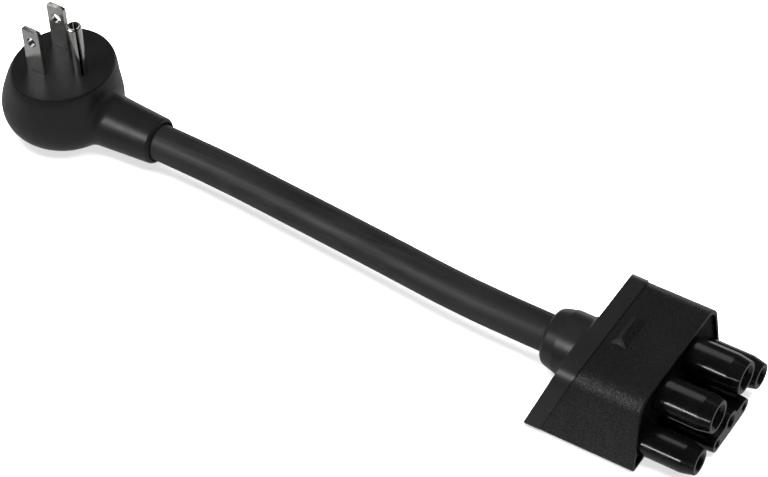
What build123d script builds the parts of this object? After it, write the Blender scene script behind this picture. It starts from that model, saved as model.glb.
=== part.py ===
"""Short adapter cable: a right-angle three-prong plug, a stiff round cable and a keyed socket head.

Frame: +X runs along the cable from the plug to the socket head, +Z is up, the way the prongs stand.
The origin is the middle of the flat underside of the socket head. Millimetres.
"""
from build123d import *
import os
from math import pi, radians, sqrt, tan

os.makedirs("parts", exist_ok=True)

# ---- socket head: outer form ----
head_height = 25.4
head_top_width = 44.4
head_foot_width = 52.6
head_top_radius = 6.6
head_foot_radius = 1.6
inner_corner = 0.4
head_wall = 1.2
mouth_x = 16.0
seam_top_x = -5.1
seam_foot_x = -14.7
cap_band = 5.4
cap_flare = 0.4
cap_wall = 2.2
floor_depth = 1.0
carrier_length = 9.0

# ---- catch ridge on top of the head ----
catch_rear_x = -3.2
catch_peak_x = -0.4
catch_front_x = 2.0
catch_height = 2.1
catch_half_length = 5.8
catch_end_draft = 1.4

# ---- cable boss on the rear cap ----
boss_radius = 8.6
boss_root_radius = 9.9
boss_rim_x = -25.2
boss_rim_round = 1.9
boss_root_round = 2.0

# ---- socket barrels ----
barrel_tip_x = mouth_x + 17.0
barrel_cone = 4.2
spigot_length, spigot_wall = 3.0, 0.8
power_y, power_z = 8.35, 16.8
power_radius, power_tip_radius = 5.75, 5.05
power_bore, power_funnel = 3.25, 4.0
power_contact_radius, power_pin_bore = 3.1, 2.0
lower_y, lower_z = 18.4, 7.5
lower_radius, lower_tip_radius = 4.85, 3.95
lower_bore, lower_funnel = 2.3, 2.8
lower_contact_radius, lower_pin_bore = 2.2, 1.5
contact_setback = 2.6
contact_depth = 15.0
contact_slit = 0.5
crimp_rear_x, crimp_front_x = 0.3, 4.8

# ---- three-way signal block ----
signal_pitch = 8.0
signal_mid_z, signal_side_z = 6.3, 4.7
signal_mid_radius, signal_side_radius = 3.8, 2.9
signal_mid_bore, signal_side_bore = 1.7, 1.15
signal_mid_funnel, signal_side_funnel = 2.3, 1.5
signal_mid_pin, signal_side_pin = 0.9, 0.6
signal_taper, signal_taper_length = 7.0, 2.8
signal_depth = 10.0
signal_tail_x, signal_tail_radius = 1.6, 0.55
lead_x, lead_radius = 3.4, 0.45

# ---- cable: sizes, and the lie of the wires inside it as (across, up) from its middle ----
cable_radius = 5.85
cable_core_radius = 4.3
power_wire_radius = 1.75
sense_wire_radius = 0.7
line_lie = (-1.82, 1.05)
neutral_lie = (1.82, 1.05)
ground_lie = (0, -2.1)
sense_lie = (0, 3.25)
run_share = 0.45
wire_bend = 2.2
wire_end_x = 3.6

# ---- inside of the head ----
crimp_radius, crimp_wall = 2.3, 0.5
board_size = (8.0, 18.0, 1.6)
board_place = (1.5, 0, 21.3)
ferrule_radius, ferrule_length, ferrule_grip = 7.4, 4.0, 3.5

# ---- plug: position and prongs ----
plug_x, plug_y, face_z = -210.9, 8.6, 26.0
blade_pitch = 12.7
blade_width, blade_thick = 6.35, 1.52
blade_length = 17.4
blade_hole_radius, blade_hole_height = 1.75, 11.9
blade_corner = 0.9
ground_offset = 11.89
ground_radius, ground_wall = 2.38, 0.75
ground_length = 18.9
ground_shank_radius = 2.1
ground_slit, ground_slit_turn = 0.7, -35
tail_z = 11.0
ground_tail_z = 5.4
prong_play = 0.05

# ---- plug: moulded body ----
body_offset = 5.1
body_rim_length, body_rim_width, body_rim_z = 15.9, 17.1, 25.3
body_belly_z, body_belly_shift = 9.8, -2.1
body_belly_length, body_belly_width = 19.4, 19.3
body_foot_length, body_foot_width = 10.6, 8.4
body_flare = 1.7
face_inset = 0.2
face_spigot_radius, face_spigot_depth = 13.5, 2.6
chamber_radius, chamber_foot_z = 13.6, 5.2
neck_z = 9.4
neck_root_radius, neck_tip_radius = 9.7, 7.5
neck_end_x = -170.3
neck_bore_radius, neck_mouth_radius, neck_mouth_depth = 5.95, 6.55, 1.2
neck_blend = 4.5
neck_lip_round = 1.3
boss_z = 10.1
holder_thickness = 4.0
crimp_z = 13.5
bead_size = (3.0, 2.6, 2.0)
bead_z = 15.5
plug_crimp_length = 6.5
ground_crimp_length = 4.0

# ---- the cable's line, from inside the plug's neck to inside the head ----
cable_route = [
    (-185.8, plug_y, neck_z),
    (-152.5, 8.4, neck_z),
    (-119.0, 5.9, 9.5),
    (-86.0, 3.2, 9.8),
    (-56.0, 0.3, boss_z),
    (-30.0, 0.0, boss_z),
    (-7.0, 0.0, boss_z),
]

body_x = plug_x + body_offset
floor_x = mouth_x - floor_depth
carrier_rear_x = floor_x - carrier_length
seam_slope = (seam_top_x - seam_foot_x) / head_height


def slanted_plane(foot_x):
    """Plane parallel to the seam of the head, crossing the underside at foot_x, facing the mouth."""
    return Plane(origin=(foot_x, 0, 0), x_dir=(0, 1, 0), z_dir=(1, 0, -seam_slope))


def across(x):
    """Plane square to the cable direction at x: its own x is +Y and its own y is +Z."""
    return Plane.YZ.offset(x)


def along(y, z):
    """Upright plane through the line y, z: its own x is +X and its own y is +Z."""
    return Plane(origin=(0, y, z), x_dir=(1, 0, 0), z_dir=(0, -1, 0))


def head_section(x, grow, foot):
    """Keyed outline of the head at x, grown outward by grow, with its foot at height foot."""
    foot_half = head_foot_width / 2 + grow
    top_half = head_top_width / 2 + grow
    top = head_height + grow
    with BuildSketch(across(x)) as section:
        with BuildLine():
            Polyline((-foot_half, foot), (foot_half, foot), (top_half, top), (-top_half, top), close=True)
        make_face()
        fillet(section.vertices().group_by(Axis.Y)[-1], head_top_radius + grow)
        fillet(section.vertices().group_by(Axis.Y)[0], max(head_foot_radius + grow, inner_corner))
    return section.sketch


def turned(outline, y, z):
    """Solid of revolution about the line y, z, from an outline of (x, radius) points."""
    with BuildPart() as solid:
        with BuildSketch(along(y, z)):
            with BuildLine():
                Polyline(*outline, close=True)
            make_face()
        revolve(axis=Axis((0, y, z), (1, 0, 0)))
    return solid.part


def bend_radii(points):
    """Radius for each corner of a route: as large as its shorter run allows."""
    spots = [Vector(*point) for point in points]
    radii = []
    for before, corner, after in zip(spots, spots[1:], spots[2:]):
        half_turn = radians((corner - before).get_angle(after - corner)) / 2
        shorter = min((corner - before).length, (after - corner).length)
        radii.append(run_share * shorter / tan(half_turn))
    return radii


def wire_along(points, radii, radius):
    """Round wire that follows a route of points, with one bend radius for each corner."""
    with BuildPart() as wire:
        with BuildLine() as line:
            FilletPolyline(*points, radius=radii)
        with BuildSketch(Plane(origin=line.line @ 0, z_dir=line.line % 0)):
            Circle(radius)
        sweep()
    return wire.part


def cable_wire(plug_lead, lie, head_lead, radius):
    """Wire that runs through the cable at its lie, with the points of its lead at each end."""
    inside = [(x, y + lie[0], z + lie[1]) for x, y, z in cable_route[1:-1]]
    tight_bends = [wire_bend] * (len(plug_lead) - 1), [wire_bend] * (len(head_lead) - 1)
    radii = [*tight_bends[0], *bend_radii(cable_route), *tight_bends[1]]
    return wire_along([*plug_lead, *inside, *head_lead], radii, radius)


# ================= socket head: shells =================
with BuildPart() as catch_ridge:
    with BuildSketch(Plane.XZ.offset(-catch_half_length)):
        with BuildLine():
            Polyline(
                (catch_rear_x, head_height - 0.3),
                (catch_front_x, head_height - 0.3),
                (catch_front_x, head_height),
                (catch_peak_x, head_height + catch_height),
                (catch_rear_x, head_height),
                close=True,
            )
        make_face()
    extrude(amount=2 * catch_half_length)
    for side in (-1, 1):
        end_foot = (0, side * catch_half_length, head_height)
        end_lean = (0, side * catch_height, catch_end_draft)
        split(bisect_by=Plane(origin=end_foot, x_dir=(1, 0, 0), z_dir=end_lean), keep=Keep.BOTTOM)

with BuildPart() as connector_shroud:
    extrude(head_section(seam_foot_x, 0, 0), amount=mouth_x - seam_foot_x)
    shroud_hollow = head_section(seam_foot_x, -head_wall, head_wall)
    extrude(shroud_hollow, amount=mouth_x - seam_foot_x, mode=Mode.SUBTRACT)
    split(bisect_by=slanted_plane(seam_foot_x), keep=Keep.TOP)
    fillet(connector_shroud.faces().sort_by(Axis.X)[-1].outer_wire().edges(), 0.45)
    add(catch_ridge.part)
connector_shroud.part.label = "connector_shroud"
export_step(connector_shroud.part, "parts/connector_shroud.step")

cap_foot_x = seam_foot_x - cap_band
with BuildPart() as cap_hollow:
    extrude(head_section(cap_foot_x, -cap_wall, cap_wall), amount=mouth_x - cap_foot_x)
    split(bisect_by=slanted_plane(cap_foot_x + cap_wall), keep=Keep.TOP)

with BuildPart() as rear_cap:
    extrude(head_section(cap_foot_x, cap_flare, 0), amount=mouth_x - cap_foot_x)
    split(bisect_by=slanted_plane(cap_foot_x), keep=Keep.TOP)
    boss_outline = [
        (boss_rim_x, 0),
        (boss_rim_x, boss_radius),
        (cap_foot_x, boss_root_radius),
        (seam_top_x, boss_root_radius),
        (seam_top_x, 0),
    ]
    add(turned(boss_outline, 0, boss_z))
    split(bisect_by=slanted_plane(seam_foot_x), keep=Keep.BOTTOM)
    fillet(rear_cap.faces().sort_by(Axis.X)[0].edges(), boss_rim_round)
    fillet(rear_cap.edges().filter_by(GeomType.ELLIPSE).sort_by(Axis.X)[0], boss_root_round)
    add(cap_hollow.part, mode=Mode.SUBTRACT)
    with BuildSketch(across(boss_rim_x)):
        with Locations((0, boss_z)):
            Circle(neck_bore_radius)
    extrude(amount=seam_top_x - boss_rim_x, mode=Mode.SUBTRACT)
    with BuildSketch(across(boss_rim_x)):
        with Locations((0, boss_z)):
            Circle(neck_mouth_radius)
    extrude(amount=neck_mouth_depth, mode=Mode.SUBTRACT)
rear_cap.part.label = "rear_cap"
export_step(rear_cap.part, "parts/rear_cap.step")

# ================= socket head: barrels and contacts =================
round_sockets = {
    "line": (-power_y, power_z, power_radius, power_tip_radius, power_bore, power_funnel, power_pin_bore),
    "neutral": (power_y, power_z, power_radius, power_tip_radius, power_bore, power_funnel, power_pin_bore),
    "ground": (-lower_y, lower_z, lower_radius, lower_tip_radius, lower_bore, lower_funnel, lower_pin_bore),
    "spare": (lower_y, lower_z, lower_radius, lower_tip_radius, lower_bore, lower_funnel, lower_pin_bore),
}
signal_sockets = {
    "signal_left": (-signal_pitch, signal_side_z, signal_side_bore, signal_side_funnel, signal_side_pin),
    "signal_middle": (0, signal_mid_z, signal_mid_bore, signal_mid_funnel, signal_mid_pin),
    "signal_right": (signal_pitch, signal_side_z, signal_side_bore, signal_side_funnel, signal_side_pin),
}

with BuildPart() as contact_carrier:
    extrude(
        head_section(carrier_rear_x, -head_wall - prong_play, head_wall + prong_play),
        amount=carrier_length,
    )
    for y, z, radius, tip_radius, bore, funnel, pin_bore in round_sockets.values():
        with BuildSketch(across(carrier_rear_x)):
            with Locations((y, z)):
                Circle(bore)
        extrude(amount=carrier_length, mode=Mode.SUBTRACT)
        with BuildSketch(across(floor_x - spigot_length)):
            with Locations((y, z)):
                Circle(bore + spigot_wall + prong_play)
        extrude(amount=spigot_length, mode=Mode.SUBTRACT)
    for y, z, bore, funnel, pin_bore in signal_sockets.values():
        with BuildSketch(across(carrier_rear_x)):
            with Locations((y, z)):
                Circle(bore)
        extrude(amount=carrier_length, mode=Mode.SUBTRACT)
contact_carrier.part.label = "contact_carrier"
export_step(contact_carrier.part, "parts/contact_carrier.step")

for name, (y, z, radius, tip_radius, bore, funnel, pin_bore) in round_sockets.items():
    spigot_x = floor_x - spigot_length
    with BuildPart() as sleeve:
        with BuildSketch(along(y, z)) as sleeve_section:
            with BuildLine():
                Polyline(
                    (spigot_x, bore),
                    (barrel_tip_x - 1.5 * (funnel - bore), bore),
                    (barrel_tip_x, funnel),
                    (barrel_tip_x, tip_radius),
                    (barrel_tip_x - barrel_cone, radius),
                    (floor_x, radius),
                    (floor_x, bore + spigot_wall),
                    (spigot_x, bore + spigot_wall),
                    close=True,
                )
            make_face()
            shoulder = sleeve_section.vertices().sort_by_distance((barrel_tip_x - barrel_cone, radius))[0]
            fillet(shoulder, 1.5)
            rim = sleeve_section.vertices().sort_by_distance((barrel_tip_x, tip_radius))[0]
            fillet(rim, 0.3)
        revolve(axis=Axis((0, y, z), (1, 0, 0)))
    sleeve.part.label = f"{name}_sleeve"
    export_step(sleeve.part, f"parts/{name}_sleeve.step")

    outer = bore - 0.12
    wire_hole = power_wire_radius + 0.04
    front_x = barrel_tip_x - contact_setback
    with BuildPart() as contact:
        add(
            turned(
                [
                    (crimp_rear_x, wire_hole),
                    (crimp_front_x - 0.6, wire_hole),
                    (crimp_front_x - 0.6, 0),
                    (front_x - contact_depth, 0),
                    (front_x - contact_depth, pin_bore),
                    (front_x - 0.4, pin_bore),
                    (front_x, pin_bore + 0.4),
                    (front_x, outer - 0.2),
                    (front_x - 0.2, outer),
                    (carrier_rear_x, outer),
                    (carrier_rear_x, outer + 0.5),
                    (crimp_front_x, outer + 0.5),
                    (crimp_front_x, wire_hole + crimp_wall),
                    (crimp_rear_x, wire_hole + crimp_wall),
                ],
                y,
                z,
            )
        )
        with BuildSketch(Plane.XY.offset(z - contact_slit / 2)):
            with Locations((front_x, y)):
                Rectangle(contact_depth, 2 * outer + 1)
        extrude(amount=contact_slit, mode=Mode.SUBTRACT)
    contact.part.label = f"{name}_contact"
    export_step(contact.part, f"parts/{name}_contact.step")


def signal_section(x):
    """Outline of the signal block at x: a flat-footed bar with a round hump in the middle."""
    with BuildSketch(across(x)) as section:
        with Locations((0, signal_side_z)):
            Rectangle(2 * signal_pitch, 2 * signal_side_radius)
        with Locations((-signal_pitch, signal_side_z), (signal_pitch, signal_side_z)):
            Circle(signal_side_radius)
        with Locations((0, signal_mid_z)):
            Circle(signal_mid_radius)
    return section.sketch


with BuildPart() as signal_block:
    taper_x = barrel_tip_x - signal_taper_length
    extrude(signal_section(floor_x), amount=taper_x - floor_x)
    extrude(signal_section(taper_x), amount=signal_taper_length, taper=signal_taper)
    for y, z, bore, funnel, pin_bore in signal_sockets.values():
        mouth_outline = [
            (floor_x, 0),
            (floor_x, bore),
            (barrel_tip_x - (funnel - bore), bore),
            (barrel_tip_x, funnel),
            (barrel_tip_x, 0),
        ]
        add(turned(mouth_outline, y, z), mode=Mode.SUBTRACT)
signal_block.part.label = "signal_block"
export_step(signal_block.part, "parts/signal_block.step")

for name, (y, z, bore, funnel, pin_bore) in signal_sockets.items():
    outer = bore - 0.08
    front_x = barrel_tip_x - contact_setback
    with BuildPart() as pin_socket:
        add(
            turned(
                [
                    (signal_tail_x, 0),
                    (front_x - signal_depth, 0),
                    (front_x - signal_depth, pin_bore),
                    (front_x, pin_bore),
                    (front_x, outer),
                    (carrier_rear_x, outer),
                    (carrier_rear_x, signal_tail_radius),
                    (signal_tail_x, signal_tail_radius),
                ],
                y,
                z,
            )
        )
    pin_socket.part.label = f"{name}_contact"
    export_step(pin_socket.part, f"parts/{name}_contact.step")

# ================= socket head: small internal parts =================
with BuildPart() as id_board:
    with BuildSketch(Plane(origin=board_place)):
        Rectangle(board_size[0], board_size[1])
    extrude(amount=board_size[2] / 2, both=True)
id_board.part.label = "id_board"
export_step(id_board.part, "parts/id_board.step")

with BuildPart() as id_resistor:
    with BuildSketch(Plane(origin=board_place).offset(board_size[2] / 2)):
        with Locations((0, 3)):
            Rectangle(1.6, 3.2)
    extrude(amount=0.6)
    chamfer(id_resistor.faces().sort_by(Axis.Z)[-1].edges(), 0.12)
id_resistor.part.label = "id_resistor"
export_step(id_resistor.part, "parts/id_resistor.step")

board_foot = board_place[2] - board_size[2] / 2
for name, (y, z, bore, funnel, pin_bore) in signal_sockets.items():
    drop_y = y * 0.375
    tail_top = z + signal_tail_radius
    with BuildPart() as signal_lead:
        if y == 0:
            with BuildSketch(Plane(origin=(lead_x, y, tail_top))):
                Circle(lead_radius)
            extrude(amount=board_foot - tail_top)
        else:
            lead_points = [
                (lead_x, drop_y, board_foot),
                (lead_x, drop_y, 14),
                (lead_x, y, 9),
                (lead_x, y, tail_top),
            ]
            add(wire_along(lead_points, [1.0, 1.0], lead_radius))
    signal_lead.part.label = f"{name}_lead"
    export_step(signal_lead.part, f"parts/{name}_lead.step")

with BuildPart() as cable_ferrule:
    with BuildSketch(across(cable_route[-1][0] - ferrule_grip)):
        with Locations((0, boss_z)):
            Circle(ferrule_radius)
            Circle(cable_radius + 0.02, mode=Mode.SUBTRACT)
    extrude(amount=ferrule_length)
    chamfer(cable_ferrule.edges().filter_by(GeomType.CIRCLE), 0.3)
cable_ferrule.part.label = "cable_ferrule"
export_step(cable_ferrule.part, "parts/cable_ferrule.step")

# ================= cable =================
print("cable radii, mm:", [round(r) for r in bend_radii(cable_route)])
with BuildPart() as cable_jacket:
    with BuildLine() as cable_line:
        FilletPolyline(*cable_route, radius=bend_radii(cable_route))
    with BuildSketch(Plane(origin=cable_line.line @ 0, z_dir=cable_line.line % 0)):
        Circle(cable_radius)
        Circle(cable_core_radius, mode=Mode.SUBTRACT)
    sweep()
jacket_area = pi * (cable_radius**2 - cable_core_radius**2)
cable_length = sum(edge.length for edge in cable_line.edges())
print("cable length, mm:", round(cable_length, 2))
print("jacket volume over section times length:", cable_jacket.part.volume / (jacket_area * cable_length))
cable_jacket.part.label = "cable_jacket"
export_step(cable_jacket.part, "parts/cable_jacket.step")

wires = {}
for name, side, lie in (("line_wire", -1, line_lie), ("neutral_wire", 1, neutral_lie)):
    plug_lead = [
        (plug_x + 4.0, plug_y + side * blade_pitch / 2, crimp_z),
        (plug_x + 11.5, plug_y + side * blade_pitch / 2, crimp_z),
        (plug_x + 21.0, plug_y + lie[0], neck_z + lie[1]),
    ]
    head_lead = [
        (-5.2, lie[0], boss_z + lie[1]),
        (-2.2, side * power_y, power_z),
        (wire_end_x, side * power_y, power_z),
    ]
    wires[name] = cable_wire(plug_lead, lie, head_lead, power_wire_radius)

ground_lead = [(plug_x + ground_offset + ground_radius + 0.6, plug_y, neck_z + ground_lie[1])]
ground_head_lead = [
    (-3.4, 0, boss_z + ground_lie[1]),
    (-1.8, -lower_y, lower_z),
    (wire_end_x, -lower_y, lower_z),
]
wires["ground_wire"] = cable_wire(ground_lead, ground_lie, ground_head_lead, power_wire_radius)

sense_lead = [
    (plug_x + bead_size[0] / 2, plug_y, bead_z),
    (plug_x + 7.0, plug_y, bead_z),
    (plug_x + 11.9, plug_y + 4.1, bead_z - 0.3),
    (plug_x + 17.0, plug_y + 1.2, bead_z - 1.9),
    (plug_x + 22.0, plug_y, neck_z + sense_lie[1]),
]
sense_head_lead = [(-5.2, 0, boss_z + sense_lie[1]), (-1.5, 0, 16.5), (-1.5, 0, board_foot)]
wires["sense_wire"] = cable_wire(sense_lead, sense_lie, sense_head_lead, sense_wire_radius)

for name, solid in wires.items():
    with BuildPart() as wire:
        add(solid)
    wire.part.label = name
    export_step(wire.part, f"parts/{name}.step")

# ================= plug: prongs =================
for name, side in (("line", -1), ("neutral", 1)):
    blade_y = plug_y + side * blade_pitch / 2
    tip_z = face_z + blade_length
    with BuildPart() as blade:
        with BuildSketch(Plane.XZ.offset(-blade_y - blade_thick / 2)) as blade_section:
            with Locations((plug_x, (tail_z + tip_z) / 2)):
                Rectangle(blade_width, tip_z - tail_z)
            chamfer(blade_section.vertices().group_by(Axis.Y)[-1], blade_corner)
            with Locations((plug_x, face_z + blade_hole_height)):
                Circle(blade_hole_radius, mode=Mode.SUBTRACT)
        extrude(amount=blade_thick)
        chamfer(blade.faces().sort_by(Axis.Z)[-1].edges().filter_by(Axis.X), 0.45, 1.1)
    blade.part.label = f"{name}_blade"
    export_step(blade.part, f"parts/{name}_blade.step")

    with BuildPart() as crimp:
        with BuildSketch(across(plug_x + blade_width / 2)):
            with Locations((blade_y, crimp_z)):
                Circle(power_wire_radius + 0.04 + crimp_wall)
                Circle(power_wire_radius + 0.04, mode=Mode.SUBTRACT)
        extrude(amount=plug_crimp_length)
    crimp.part.label = f"{name}_crimp"
    export_step(crimp.part, f"parts/{name}_crimp.step")

ground_x = plug_x + ground_offset
with BuildPart() as ground_pin:
    with BuildSketch(Plane(origin=(ground_x, plug_y, ground_tail_z))):
        Circle(ground_shank_radius)
        Circle(ground_radius - ground_wall, mode=Mode.SUBTRACT)
    extrude(amount=face_z - ground_tail_z)
    with BuildSketch(Plane(origin=(ground_x, plug_y, face_z))):
        Circle(ground_radius)
        Circle(ground_radius - ground_wall, mode=Mode.SUBTRACT)
    extrude(amount=ground_length)
    fillet(ground_pin.faces().sort_by(Axis.Z)[-1].outer_wire().edges(), 0.7)
    slit_plane = Plane(origin=(ground_x, plug_y, ground_tail_z)).rotated((0, 0, ground_slit_turn))
    with BuildSketch(slit_plane):
        with Locations((ground_radius, 0)):
            Rectangle(2 * ground_radius, ground_slit)
    extrude(amount=face_z + ground_length - ground_tail_z, mode=Mode.SUBTRACT)
ground_pin.part.label = "ground_pin"
export_step(ground_pin.part, "parts/ground_pin.step")

with BuildPart() as ground_crimp:
    with BuildSketch(across(ground_x + ground_radius)):
        with Locations((plug_y, neck_z + ground_lie[1])):
            Circle(power_wire_radius + 0.3)
            Circle(power_wire_radius + 0.04, mode=Mode.SUBTRACT)
    extrude(amount=ground_crimp_length)
ground_crimp.part.label = "ground_crimp"
export_step(ground_crimp.part, "parts/ground_crimp.step")

with BuildPart() as temperature_bead:
    with BuildSketch(Plane(origin=(plug_x, plug_y, bead_z - bead_size[2] / 2))):
        Rectangle(bead_size[0], bead_size[1])
    extrude(amount=bead_size[2])
    fillet(temperature_bead.edges().filter_by(Axis.Z), 0.6)
temperature_bead.part.label = "temperature_bead"
export_step(temperature_bead.part, "parts/temperature_bead.step")

# ================= plug: moulded parts =================
with BuildPart() as prong_slots:
    with BuildSketch(Plane(origin=(plug_x, plug_y, ground_tail_z))):
        with Locations((0, -blade_pitch / 2), (0, blade_pitch / 2)):
            Rectangle(blade_width + 2 * prong_play, blade_thick + 2 * prong_play)
        with Locations((ground_offset, 0)):
            Circle(ground_shank_radius + prong_play)
    extrude(amount=face_z + 1 - ground_tail_z)

spigot_foot_z = body_rim_z - face_spigot_depth
with BuildPart() as plug_face:
    with BuildSketch(Plane(origin=(body_x, plug_y, body_rim_z))):
        Ellipse(body_rim_length - face_inset, body_rim_width - face_inset)
    extrude(amount=face_z - body_rim_z)
    fillet(plug_face.faces().sort_by(Axis.Z)[-1].edges(), 0.35)
    with BuildSketch(Plane(origin=(body_x, plug_y, spigot_foot_z))):
        Circle(face_spigot_radius)
    extrude(amount=face_spigot_depth)
    add(prong_slots.part, mode=Mode.SUBTRACT)
plug_face.part.label = "plug_face"
export_step(plug_face.part, "parts/plug_face.step")

with BuildPart() as prong_holder:
    with BuildSketch(Plane(origin=(body_x, plug_y, spigot_foot_z - holder_thickness))):
        Circle(face_spigot_radius)
    extrude(amount=holder_thickness)
    add(prong_slots.part, mode=Mode.SUBTRACT)
prong_holder.part.label = "prong_holder"
export_step(prong_holder.part, "parts/prong_holder.step")



def body_oval(z):
    """Half length, half width and shift from the face's middle of the plug's bell at height z."""
    if z < body_belly_z:
        share = sqrt(1 - (1 - z / body_belly_z) ** 2)
        length = body_foot_length + (body_belly_length - body_foot_length) * share
        width = body_foot_width + (body_belly_width - body_foot_width) * share
        return length, width, body_belly_shift
    share = 1 - ((z - body_belly_z) / (body_rim_z - body_belly_z)) ** body_flare
    length = body_rim_length + (body_belly_length - body_rim_length) * share
    width = body_rim_width + (body_belly_width - body_rim_width) * share
    return length, width, body_belly_shift * share


with BuildPart() as plug_housing:
    for z in (0, 1.2, 4.5, body_belly_z, 15, 20, body_rim_z):
        length, width, shift = body_oval(z)
        with BuildSketch(Plane(origin=(body_x + shift, plug_y, z))):
            Ellipse(length, width)
    loft()
    with BuildSketch(along(plug_y, neck_z)) as neck_section:
        with BuildLine():
            Polyline(
                (body_x, 0),
                (neck_end_x, 0),
                (neck_end_x, neck_tip_radius),
                (body_x, neck_root_radius),
                close=True,
            )
        make_face()
        lip = neck_section.vertices().sort_by_distance((neck_end_x, neck_tip_radius))[0]
        fillet(lip, neck_lip_round)
    revolve(axis=Axis((0, plug_y, neck_z), (1, 0, 0)))
    root_edges = plug_housing.edges().filter_by_position(Axis.X, body_x + 8, neck_end_x - 6)
    fillet(root_edges.filter_by_position(Axis.Z, neck_z - 2, neck_z + 2), neck_blend)
    with BuildSketch(Plane(origin=(body_x, plug_y, chamber_foot_z))):
        Circle(chamber_radius)
    extrude(amount=body_rim_z - chamber_foot_z, mode=Mode.SUBTRACT)
    with BuildSketch(across(body_x)):
        with Locations((plug_y, neck_z)):
            Circle(neck_bore_radius)
    extrude(amount=neck_end_x - body_x, mode=Mode.SUBTRACT)
    with BuildSketch(across(neck_end_x - neck_mouth_depth)):
        with Locations((plug_y, neck_z)):
            Circle(neck_mouth_radius)
    extrude(amount=neck_mouth_depth, mode=Mode.SUBTRACT)
plug_housing.part.label = "plug_housing"
export_step(plug_housing.part, "parts/plug_housing.step")
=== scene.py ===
from math import cos, radians, sin

import bpy
from mathutils import Matrix, Vector


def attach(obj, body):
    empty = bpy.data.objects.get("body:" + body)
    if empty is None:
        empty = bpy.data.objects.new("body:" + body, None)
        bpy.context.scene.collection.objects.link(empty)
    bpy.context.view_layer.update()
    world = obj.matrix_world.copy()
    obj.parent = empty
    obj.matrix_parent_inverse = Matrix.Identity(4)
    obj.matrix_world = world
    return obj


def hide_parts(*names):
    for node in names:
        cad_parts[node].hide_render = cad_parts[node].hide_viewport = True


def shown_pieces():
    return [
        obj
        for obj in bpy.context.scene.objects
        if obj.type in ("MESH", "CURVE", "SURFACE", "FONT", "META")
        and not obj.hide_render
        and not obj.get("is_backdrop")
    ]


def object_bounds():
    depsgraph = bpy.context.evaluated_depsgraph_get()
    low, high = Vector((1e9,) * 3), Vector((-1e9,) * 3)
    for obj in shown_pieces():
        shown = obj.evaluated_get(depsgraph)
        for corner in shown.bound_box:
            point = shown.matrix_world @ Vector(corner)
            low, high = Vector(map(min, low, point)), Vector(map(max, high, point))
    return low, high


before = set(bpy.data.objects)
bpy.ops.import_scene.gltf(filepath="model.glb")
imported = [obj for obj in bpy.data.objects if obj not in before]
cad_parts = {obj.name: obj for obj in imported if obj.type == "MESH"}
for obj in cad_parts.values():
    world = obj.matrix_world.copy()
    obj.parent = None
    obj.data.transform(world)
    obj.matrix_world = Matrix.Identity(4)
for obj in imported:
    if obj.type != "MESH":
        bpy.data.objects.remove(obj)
cad_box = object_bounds()
scene = bpy.context.scene
scene.view_settings.view_transform = "Standard"

# ---------------------------------------------------------------- camera
VIEW_AZIMUTH, VIEW_ELEVATION, VIEW_ROLL = 34.83, 46.29, -3.30
CAMERA_PLACE = (0.26552, -0.50007, 0.65754)
CAMERA_LENS = 140.6


def add_camera():
    a, e, roll = radians(VIEW_AZIMUTH), radians(VIEW_ELEVATION), radians(VIEW_ROLL)
    back = Vector((sin(a) * cos(e), -cos(a) * cos(e), sin(e)))
    level = Vector((cos(a), sin(a), 0))
    right = cos(roll) * level + sin(roll) * back.cross(level)
    up = back.cross(right)
    data = bpy.data.cameras.new("camera")
    data.sensor_width = 36
    data.lens = CAMERA_LENS
    data.clip_start, data.clip_end = 0.05, 50
    camera = bpy.data.objects.new("camera", data)
    turn = Matrix((right, up, back)).transposed().to_4x4()
    camera.matrix_world = Matrix.Translation(CAMERA_PLACE) @ turn
    scene.collection.objects.link(camera)
    scene.camera = camera


add_camera()

# ---------------------------------------------------------------- cable
# The same route as the CAD jacket's, in metres.
CABLE_ROUTE = [
    (-0.1858, 0.0086, 0.0094),
    (-0.1525, 0.0084, 0.0094),
    (-0.1190, 0.0059, 0.0095),
    (-0.0860, 0.0032, 0.0098),
    (-0.0560, 0.0003, 0.0101),
    (-0.0300, 0.0000, 0.0101),
    (-0.0070, 0.0000, 0.0101),
]
CABLE_RADIUS = 0.00585


def add_cable():
    data = bpy.data.curves.new("cable", "CURVE")
    data.dimensions = "3D"
    spline = data.splines.new("NURBS")
    spline.points.add(len(CABLE_ROUTE) - 1)
    for point, place in zip(spline.points, CABLE_ROUTE):
        point.co = (*place, 1)
        point.radius = CABLE_RADIUS
    spline.order_u = 3
    spline.use_endpoint_u = True
    spline.resolution_u = 16
    data.bevel_depth = 1.0
    data.bevel_resolution = 14
    data.use_fill_caps = False
    cable = bpy.data.objects.new("cable", data)
    scene.collection.objects.link(cable)
    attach(cable, "root")
    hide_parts("cable_jacket")
    return cable


cable = add_cable()

# ---------------------------------------------------------------- materials


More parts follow.
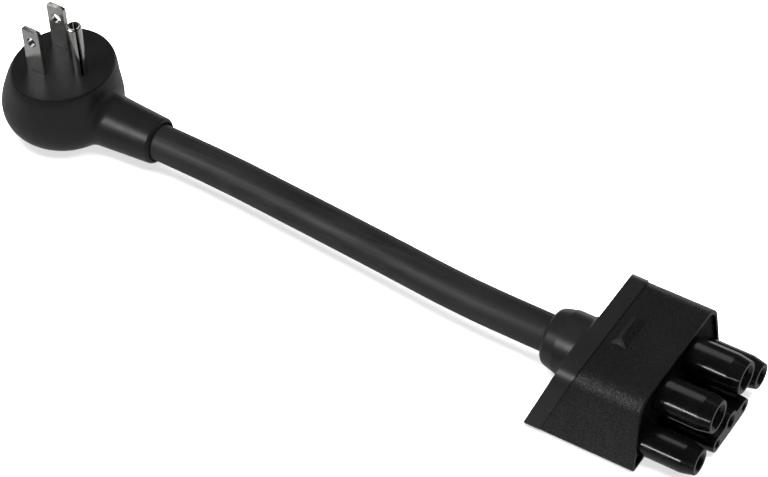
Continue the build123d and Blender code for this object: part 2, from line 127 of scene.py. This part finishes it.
class Nodes:
    """Builds one material's node tree."""

    def __init__(self, name):
        self.material = bpy.data.materials.new(name)
        self.material.use_nodes = True
        self.tree = self.material.node_tree
        self.tree.nodes.clear()
        self.output = self.tree.nodes.new("ShaderNodeOutputMaterial")
        self.shader = self.tree.nodes.new("ShaderNodeBsdfPrincipled")
        self.link(self.shader.outputs[0], self.output.inputs["Surface"])

    def link(self, source, target):
        self.tree.links.new(source, target)

    def node(self, kind, inputs=(), **settings):
        made = self.tree.nodes.new("ShaderNode" + kind)
        for key, value in settings.items():
            setattr(made, key, value)
        for key, value in dict(inputs).items():
            if isinstance(value, bpy.types.NodeSocket):
                self.link(value, made.inputs[key])
            else:
                made.inputs[key].default_value = value
        return made

    def set(self, **values):
        for key, value in values.items():
            socket = self.shader.inputs[key.replace("_", " ")]
            if isinstance(value, bpy.types.NodeSocket):
                self.link(value, socket)
            else:
                socket.default_value = value

    def place(self, stretch=(1, 1, 1)):
        """Object position in metres, stretched along each axis."""
        coordinates = self.node("TexCoord")
        mapping = self.node("Mapping", {"Vector": coordinates.outputs["Object"]})
        mapping.inputs["Scale"].default_value = stretch
        return mapping.outputs[0]

    def noise(self, vector, scale, detail=3.0, roughness=0.5):
        made = self.node(
            "TexNoise", {"Vector": vector, "Scale": scale, "Detail": detail, "Roughness": roughness}
        )
        return made.outputs[0]

    def span(self, value, low, high, to_low, to_high):
        made = self.node(
            "MapRange",
            {"Value": value, "From Min": low, "From Max": high, "To Min": to_low, "To Max": to_high},
        )
        return made.outputs[0]

    def mix(self, factor, first, second):
        made = self.node("Mix", data_type="RGBA")
        for index, value in ((0, factor), (6, first), (7, second)):
            if isinstance(value, bpy.types.NodeSocket):
                self.link(value, made.inputs[index])
            else:
                made.inputs[index].default_value = value if index == 0 else (*value, 1)
        return made.outputs[2]

    def bump(self, height, strength, distance, normal=None):
        inputs = {"Height": height, "Strength": strength, "Distance": distance}
        if normal is not None:
            inputs["Normal"] = normal
        return self.node("Bump", inputs).outputs[0]


def textured_shell():
    """Fine spark-eroded grain: two sizes of pits, with sheen on the tops of the grain."""
    n = Nodes("textured_shell")
    place = n.place()
    fine = n.noise(place, 3400, 2.0, 0.6)
    coarse = n.noise(place, 1500, 2.0, 0.5)
    speck = n.noise(place, 1900, 2.0, 0.7)
    cloud = n.noise(place, 45, 3.0)
    tone = n.mix(n.span(cloud, 0.35, 0.65, 0, 1), (0.0034, 0.0034, 0.0037), (0.0048, 0.0048, 0.0051))
    tone = n.mix(n.span(fine, 0.48, 0.72, 0, 1), tone, (0.0066, 0.0066, 0.0070))
    n.set(
        Base_Color=tone,
        Roughness=n.span(fine, 0.3, 0.7, 0.44, 0.26),
        Specular_IOR_Level=n.span(speck, 0.42, 0.62, 0.20, 0.58),
        Normal=n.bump(coarse, 0.60, 0.00022, n.bump(fine, 0.90, 0.00014)),
    )
    return n.material


def satin(name, dark, light, rough, grain=0.12, specular=0.4):
    """Smooth moulded plastic: faint flow marks, a very fine grain and light rubbing."""
    n = Nodes(name)
    place = n.place()
    cloud = n.noise(place, 60, 4.0, 0.55)
    fine = n.noise(place, 4200, 2.0)
    flow = n.noise(n.place((30, 130, 90)), 1.0, 3.0)
    rub = n.noise(place, 260, 5.0, 0.65)
    tone = n.mix(n.span(cloud, 0.3, 0.7, 0, 1), dark, light)
    n.set(
        Base_Color=tone,
        Roughness=n.span(rub, 0.3, 0.7, rough - 0.05, rough + 0.06),
        Specular_IOR_Level=specular,
        Normal=n.bump(flow, 0.06, 0.0006, n.bump(fine, grain, 0.00004)),
    )
    return n.material


def gloss_barrel():
    """Glossy thermoset: nearly black, with a mirror coat and faint turning marks."""
    n = Nodes("gloss_barrel")
    place = n.place()
    cloud = n.noise(place, 120, 3.0)
    smear = n.noise(place, 380, 5.0, 0.6)
    wave = n.noise(n.place((60, 420, 420)), 1.0, 2.0)
    patches = n.span(cloud, 0.3, 0.7, 0, 1)
    n.set(
        Base_Color=n.mix(patches, (0.0012, 0.0012, 0.0013), (0.0026, 0.0026, 0.0028)),
        Roughness=n.span(smear, 0.35, 0.7, 0.13, 0.22),
        Specular_IOR_Level=0.5,
        Normal=n.bump(wave, 0.05, 0.0005),
    )
    return n.material


def cable_sheath():
    """Extruded sheath: long fine draw lines and a rubbery satin skin."""
    n = Nodes("cable_sheath")
    place = n.place()
    streak = n.noise(n.place((22, 1500, 1500)), 1.0, 3.0)
    wide = n.noise(n.place((9, 420, 420)), 1.0, 2.0)
    fine = n.noise(place, 3600, 2.0)
    cloud = n.noise(place, 55, 4.0, 0.6)
    tone = n.mix(n.span(cloud, 0.3, 0.7, 0, 1), (0.0050, 0.0050, 0.0053), (0.0075, 0.0075, 0.0079))
    tone = n.mix(n.span(streak, 0.45, 0.7, 0, 0.5), tone, (0.0135, 0.0135, 0.0140))
    lines = n.bump(streak, 0.14, 0.00012, n.bump(wide, 0.10, 0.0004))
    n.set(
        Base_Color=tone,
        Roughness=n.span(wide, 0.3, 0.7, 0.44, 0.56),
        Specular_IOR_Level=0.34,
        Normal=n.bump(fine, 0.12, 0.00004, lines),
    )
    return n.material


def metal(name, dark, light, rough, along=(900, 900, 40)):
    """Plated metal: brushed lines one way, with slightly duller patches."""
    n = Nodes(name)
    place = n.place()
    brush = n.noise(n.place(along), 1.0, 3.0)
    patch = n.noise(place, 320, 4.0, 0.6)
    n.set(
        Base_Color=n.mix(n.span(patch, 0.35, 0.65, 0, 1), dark, light),
        Metallic=1.0,
        Roughness=n.span(patch, 0.35, 0.7, rough - 0.04, rough + 0.06),
        Normal=n.bump(brush, 0.12, 0.00006),
    )
    return n.material


def sleeving(name, dark, light):
    n = Nodes(name)
    cloud = n.noise(n.place(), 300, 3.0)
    streak = n.noise(n.place((30, 1800, 1800)), 1.0, 2.0)
    n.set(
        Base_Color=n.mix(n.span(cloud, 0.3, 0.7, 0, 1), dark, light),
        Roughness=n.span(streak, 0.3, 0.7, 0.38, 0.5),
        Normal=n.bump(streak, 0.1, 0.0001),
    )
    return n.material


def board_green():
    """Fibreglass board: green mask over a woven ground."""
    n = Nodes("board")
    warp = n.node("TexWave", {"Vector": n.place(), "Scale": 420.0}, bands_direction="X").outputs[1]
    weft = n.node("TexWave", {"Vector": n.place(), "Scale": 420.0}, bands_direction="Y").outputs[1]
    weave = n.node("Math", {0: warp, 1: weft}, operation="MAXIMUM").outputs[0]
    n.set(
        Base_Color=n.mix(weave, (0.010, 0.085, 0.030), (0.016, 0.125, 0.045)),
        Roughness=n.span(weave, 0, 1, 0.28, 0.36),
        Normal=n.bump(weave, 0.1, 0.00005),
    )
    return n.material


SHELL = textured_shell()
CAP = satin("satin_shell", (0.0056, 0.0056, 0.0060), (0.0074, 0.0074, 0.0078), 0.31, 0.10, 0.36)
PLUG = satin("plug_moulding", (0.0040, 0.0040, 0.0043), (0.0054, 0.0054, 0.0058), 0.35, 0.10, 0.33)
FACE = satin("face_moulding", (0.0040, 0.0040, 0.0043), (0.0058, 0.0058, 0.0062), 0.44, 0.16, 0.28)
BARREL = gloss_barrel()
CARRIER = satin("carrier", (0.0016, 0.0016, 0.0018), (0.0028, 0.0028, 0.0030), 0.62, 0.2, 0.12)
SHEATH = cable_sheath()
NICKEL = metal("nickel", (0.60, 0.59, 0.57), (0.72, 0.71, 0.69), 0.17)
CONTACT = metal("contact_metal", (0.50, 0.49, 0.47), (0.66, 0.65, 0.63), 0.24, (60, 1100, 1100))
CRIMP = metal("crimp_metal", (0.42, 0.38, 0.28), (0.56, 0.50, 0.36), 0.3, (60, 900, 900))
COMPONENT = satin("component", (0.012, 0.012, 0.016), (0.022, 0.022, 0.028), 0.4)
BLOCK = satin("inner_block", (0.020, 0.020, 0.021), (0.030, 0.030, 0.032), 0.5, 0.3)
BOARD = board_green()

FINISHES = {
    "connector_shroud": SHELL,
    "rear_cap": CAP,
    "plug_housing": PLUG,
    "plug_face": FACE,
    "contact_carrier": CARRIER,
    "line_sleeve": BARREL,
    "neutral_sleeve": BARREL,
    "ground_sleeve": BARREL,
    "spare_sleeve": BARREL,
    "signal_block": BARREL,
    "line_contact": CONTACT,
    "neutral_contact": CONTACT,
    "ground_contact": CONTACT,
    "spare_contact": CONTACT,
    "signal_left_contact": CONTACT,
    "signal_middle_contact": CONTACT,
    "signal_right_contact": CONTACT,
    "signal_left_lead": CRIMP,
    "signal_middle_lead": CRIMP,
    "signal_right_lead": CRIMP,
    "cable_ferrule": CRIMP,
    "line_crimp": CRIMP,
    "neutral_crimp": CRIMP,
    "ground_crimp": CRIMP,
    "id_board": BOARD,
    "id_resistor": COMPONENT,
    "temperature_bead": COMPONENT,
    "prong_holder": BLOCK,
    "line_blade": NICKEL,
    "neutral_blade": NICKEL,
    "ground_pin": NICKEL,
    "line_wire": sleeving("line_sleeving", (0.014, 0.014, 0.015), (0.024, 0.024, 0.025)),
    "neutral_wire": sleeving("neutral_sleeving", (0.60, 0.60, 0.58), (0.72, 0.72, 0.70)),
    "ground_wire": sleeving("ground_sleeving", (0.03, 0.20, 0.05), (0.05, 0.28, 0.07)),
    "sense_wire": sleeving("sense_sleeving", (0.42, 0.06, 0.05), (0.52, 0.09, 0.07)),
}

for node, material in FINISHES.items():
    part = bpy.data.objects[node]
    if not part.material_slots:
        part.data.materials.append(material)
    for held in part.material_slots:
        held.material = material
cable.data.materials.append(SHEATH)

# ---------------------------------------------------------------- floor and light
FLOOR_GAP = 0.0002
FLOOR_Z = cad_box[0][2] - FLOOR_GAP
FLOOR_HALF = 4.0
# Strengths of the painted reflection that the floor shows to glossy rays: pool near the object, dark
# in front, bright glow behind.
REFLECTED_POOL_GLOW, REFLECTED_NEAR_DARK, REFLECTED_BACK_GLOW = 0.40, 0.06, 1.1
LAMPS_AIM = Vector((-0.08, 0, 0.015))
ROOM_STRENGTH = 0.04


def add_floor():
    """Pale floor. Glossy rays do not see it: they see a painted reflection instead, an emission that
    glows for glossy rays only, a bright pool close to the object, dark in front of it and a brighter
    glow behind it."""
    n = Nodes("floor")
    cloud = n.noise(n.place(), 3, 2.0)
    n.set(
        Base_Color=n.mix(cloud, (0.87, 0.87, 0.87), (0.89, 0.89, 0.89)),
        Roughness=0.9,
        Specular_IOR_Level=0.1,
    )
    spot = n.node("SeparateXYZ", {0: n.place()})
    near = n.span(spot.outputs[1], -0.062, -0.030, REFLECTED_NEAR_DARK, REFLECTED_POOL_GLOW)
    behind = n.span(spot.outputs[1], 0.045, 0.12, 0, REFLECTED_BACK_GLOW - REFLECTED_POOL_GLOW)
    level = n.node("Math", {0: near, 1: behind}, operation="ADD").outputs[0]
    # Painted reflection: an emission seen only by glossy rays, brighter close to and behind the
    # object.
    painted_reflection = n.node("Emission", {"Strength": level})
    path = n.node("LightPath")
    both = n.node("MixShader", {0: path.outputs["Is Glossy Ray"]})
    n.link(n.shader.outputs[0], both.inputs[1])
    n.link(painted_reflection.outputs[0], both.inputs[2])
    n.link(both.outputs[0], n.output.inputs["Surface"])
    n.material.cycles.emission_sampling = "NONE"
    mesh = bpy.data.meshes.new("floor")
    half = FLOOR_HALF
    corners = [(-half, -half, 0), (half, -half, 0), (half, half, 0), (-half, half, 0)]
    mesh.from_pydata(corners, [], [(0, 1, 2, 3)])
    mesh.materials.append(n.material)
    floor = bpy.data.objects.new("floor", mesh)
    floor.location.z = FLOOR_Z
    scene.collection.objects.link(floor)
    floor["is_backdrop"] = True
    return floor


def soft_box(name, direction, distance, size, power, gloss=True, only=(), cast=True):
    """Soft box in a direction (degrees round from +X, degrees up), facing the object.
    With only, it is flagged off from everything but those pieces. Without cast, nothing
    else shades them from it."""
    azimuth, height = radians(direction[0]), radians(direction[1])
    away = Vector((cos(azimuth) * cos(height), sin(azimuth) * cos(height), sin(height)))
    data = bpy.data.lights.new(name, "AREA")
    data.shape = "RECTANGLE"
    data.size, data.size_y = size
    data.energy = power
    lamp = bpy.data.objects.new(name, data)
    lamp.location = LAMPS_AIM + away * distance
    lamp.rotation_euler = away.to_track_quat("Z", "Y").to_euler()
    lamp.visible_glossy = gloss
    if only:
        lit = bpy.data.collections.new(name + "_lit")
        for piece in only:
            lit.objects.link(piece)
        lamp.light_linking.receiver_collection = lit
        if not cast:
            lamp.light_linking.blocker_collection = lit
    scene.collection.objects.link(lamp)


def add_world():
    world = bpy.data.worlds.new("world")
    world.use_nodes = True
    background = world.node_tree.nodes["Background"]
    background.inputs["Color"].default_value = (0.96, 0.98, 1.0, 1)
    background.inputs["Strength"].default_value = ROOM_STRENGTH
    scene.world = world


floor = add_floor()
add_world()
GLOSSY = [bpy.data.objects[node] for node, finish in FINISHES.items() if finish is BARREL]
METAL = [bpy.data.objects[node] for node, finish in FINISHES.items() if finish in (NICKEL, CONTACT)]
FAR_BARREL = [bpy.data.objects["neutral_sleeve"]]
DULL = [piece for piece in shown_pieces() if piece not in GLOSSY]
soft_box("room", (100, 78), 2.0, (2.6, 2.6), 150, gloss=False)
soft_box("floor_wash", (100, 78), 2.0, (2.6, 2.6), 90, gloss=False, only=[floor], cast=False)
soft_box("top_box", (138, 58), 1.3, (1.05, 0.85), 3.0, only=GLOSSY + METAL)
soft_box("near_strip", (247, 7.5), 1.2, (1.3, 0.10), 9, only=GLOSSY + METAL)
soft_box("far_strip", (246, 16), 1.2, (1.3, 0.08), 8, only=FAR_BARREL)
soft_box("left_box", (238, 34), 1.2, (0.7, 0.34), 7.5, only=DULL)
soft_box("side_fill", (262, 10), 1.2, (1.0, 0.5), 14, gloss=False, only=DULL)

# ---------------------------------------------------------------- end
bpy.context.view_layer.update()
